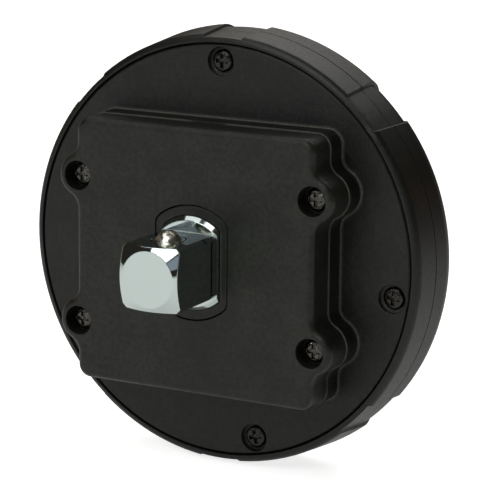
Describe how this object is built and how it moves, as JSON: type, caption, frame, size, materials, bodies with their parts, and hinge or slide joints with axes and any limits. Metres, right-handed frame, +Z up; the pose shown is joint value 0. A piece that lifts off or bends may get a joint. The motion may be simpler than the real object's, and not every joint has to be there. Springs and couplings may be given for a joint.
{
  "type": "torque angle gauge",
  "caption": "Round digital torque angle gauge with a square drive shaft through its middle, a screwed battery box on the rear, and a display and keys on the front.",
  "frame": {"origin": "centre of the shoulder that the male drive square stands on, on the drive axis", "axes": "+Z up with the gauge upright on its rim, -Y along the male square towards its end, +Y out of the display side, +X to the right seen from the drive side"},
  "size_m": [0.0896, 0.0459, 0.089],
  "materials": {
    "chrome_steel": "polished chrome plate",
    "nickel_steel": "polished nickel",
    "spring_wire": "drawn wire",
    "gauge_foil": "thin foil on film",
    "black_steel": "oiled spring steel",
    "seal_rubber": "smooth",
    "case_black": "fine spark-eroded grain",
    "rim_black": "satin moulded",
    "panel_black": "printed film",
    "clear_window": "clear moulded",
    "display_glass": "reflective display",
    "board_green": "solder mask",
    "chip_black": "moulded",
    "light_lens": "clear moulded",
    "key_grey": "soft moulded",
    "cell_jacket": "printed jacket",
    "contact_steel": "nickel plated",
    "screw_black": "black plated",
    "screw_zinc": "zinc plated"
  },
  "bodies": {
    "gauge": {"torque_shaft": "chrome_steel", "detent_spring": "spring_wire", "strain_gauges": "gauge_foil", "retaining_ring": "black_steel", "shaft_seal": "seal_rubber", "rear_plate": "case_black", "rear_rim": "rim_black", "front_case": "rim_black", "front_overlay": "panel_black", "display_window": "clear_window", "lcd_module": "display_glass", "circuit_board": "board_green", "board_chips": "chip_black", "buzzer": "chip_black", "key_switches": "chip_black", "indicator_lights": "light_lens", "battery_cover": "case_black", "battery_left": "cell_jacket", "battery_right": "cell_jacket", "battery_contacts": "contact_steel", "battery_springs": "contact_steel", "cover_screws": "screw_black", "case_screws": "screw_black", "board_screws": "screw_zinc"},
    "detent": {"detent_ball": "nickel_steel"},
    "key_power": {"key_power": "key_grey"},
    "key_mode": {"key_mode": "key_grey"},
    "key_up": {"key_up": "key_grey"},
    "key_down": {"key_down": "key_grey"}
  },
  "joints": [
    {"name": "detent_press", "type": "slide", "parent": "gauge", "child": "detent", "axis": [0, 0, -1], "range_m": [0, 0.002], "stiffness_N_per_m": 1200, "springref_m": -0.001, "deforming": ["detent_spring"]},
    {"name": "key_power_press", "type": "slide", "parent": "gauge", "child": "key_power", "axis": [0, -1, 0], "range_m": [0, 0.0005], "stiffness_N_per_m": 800, "springref_m": -0.0006},
    {"name": "key_mode_press", "type": "slide", "parent": "gauge", "child": "key_mode", "axis": [0, -1, 0], "range_m": [0, 0.0005], "stiffness_N_per_m": 800, "springref_m": -0.0006},
    {"name": "key_up_press", "type": "slide", "parent": "gauge", "child": "key_up", "axis": [0, -1, 0], "range_m": [0, 0.0005], "stiffness_N_per_m": 800, "springref_m": -0.0006},
    {"name": "key_down_press", "type": "slide", "parent": "gauge", "child": "key_down", "axis": [0, -1, 0], "range_m": [0, 0.0005], "stiffness_N_per_m": 800, "springref_m": -0.0006}
  ]
}
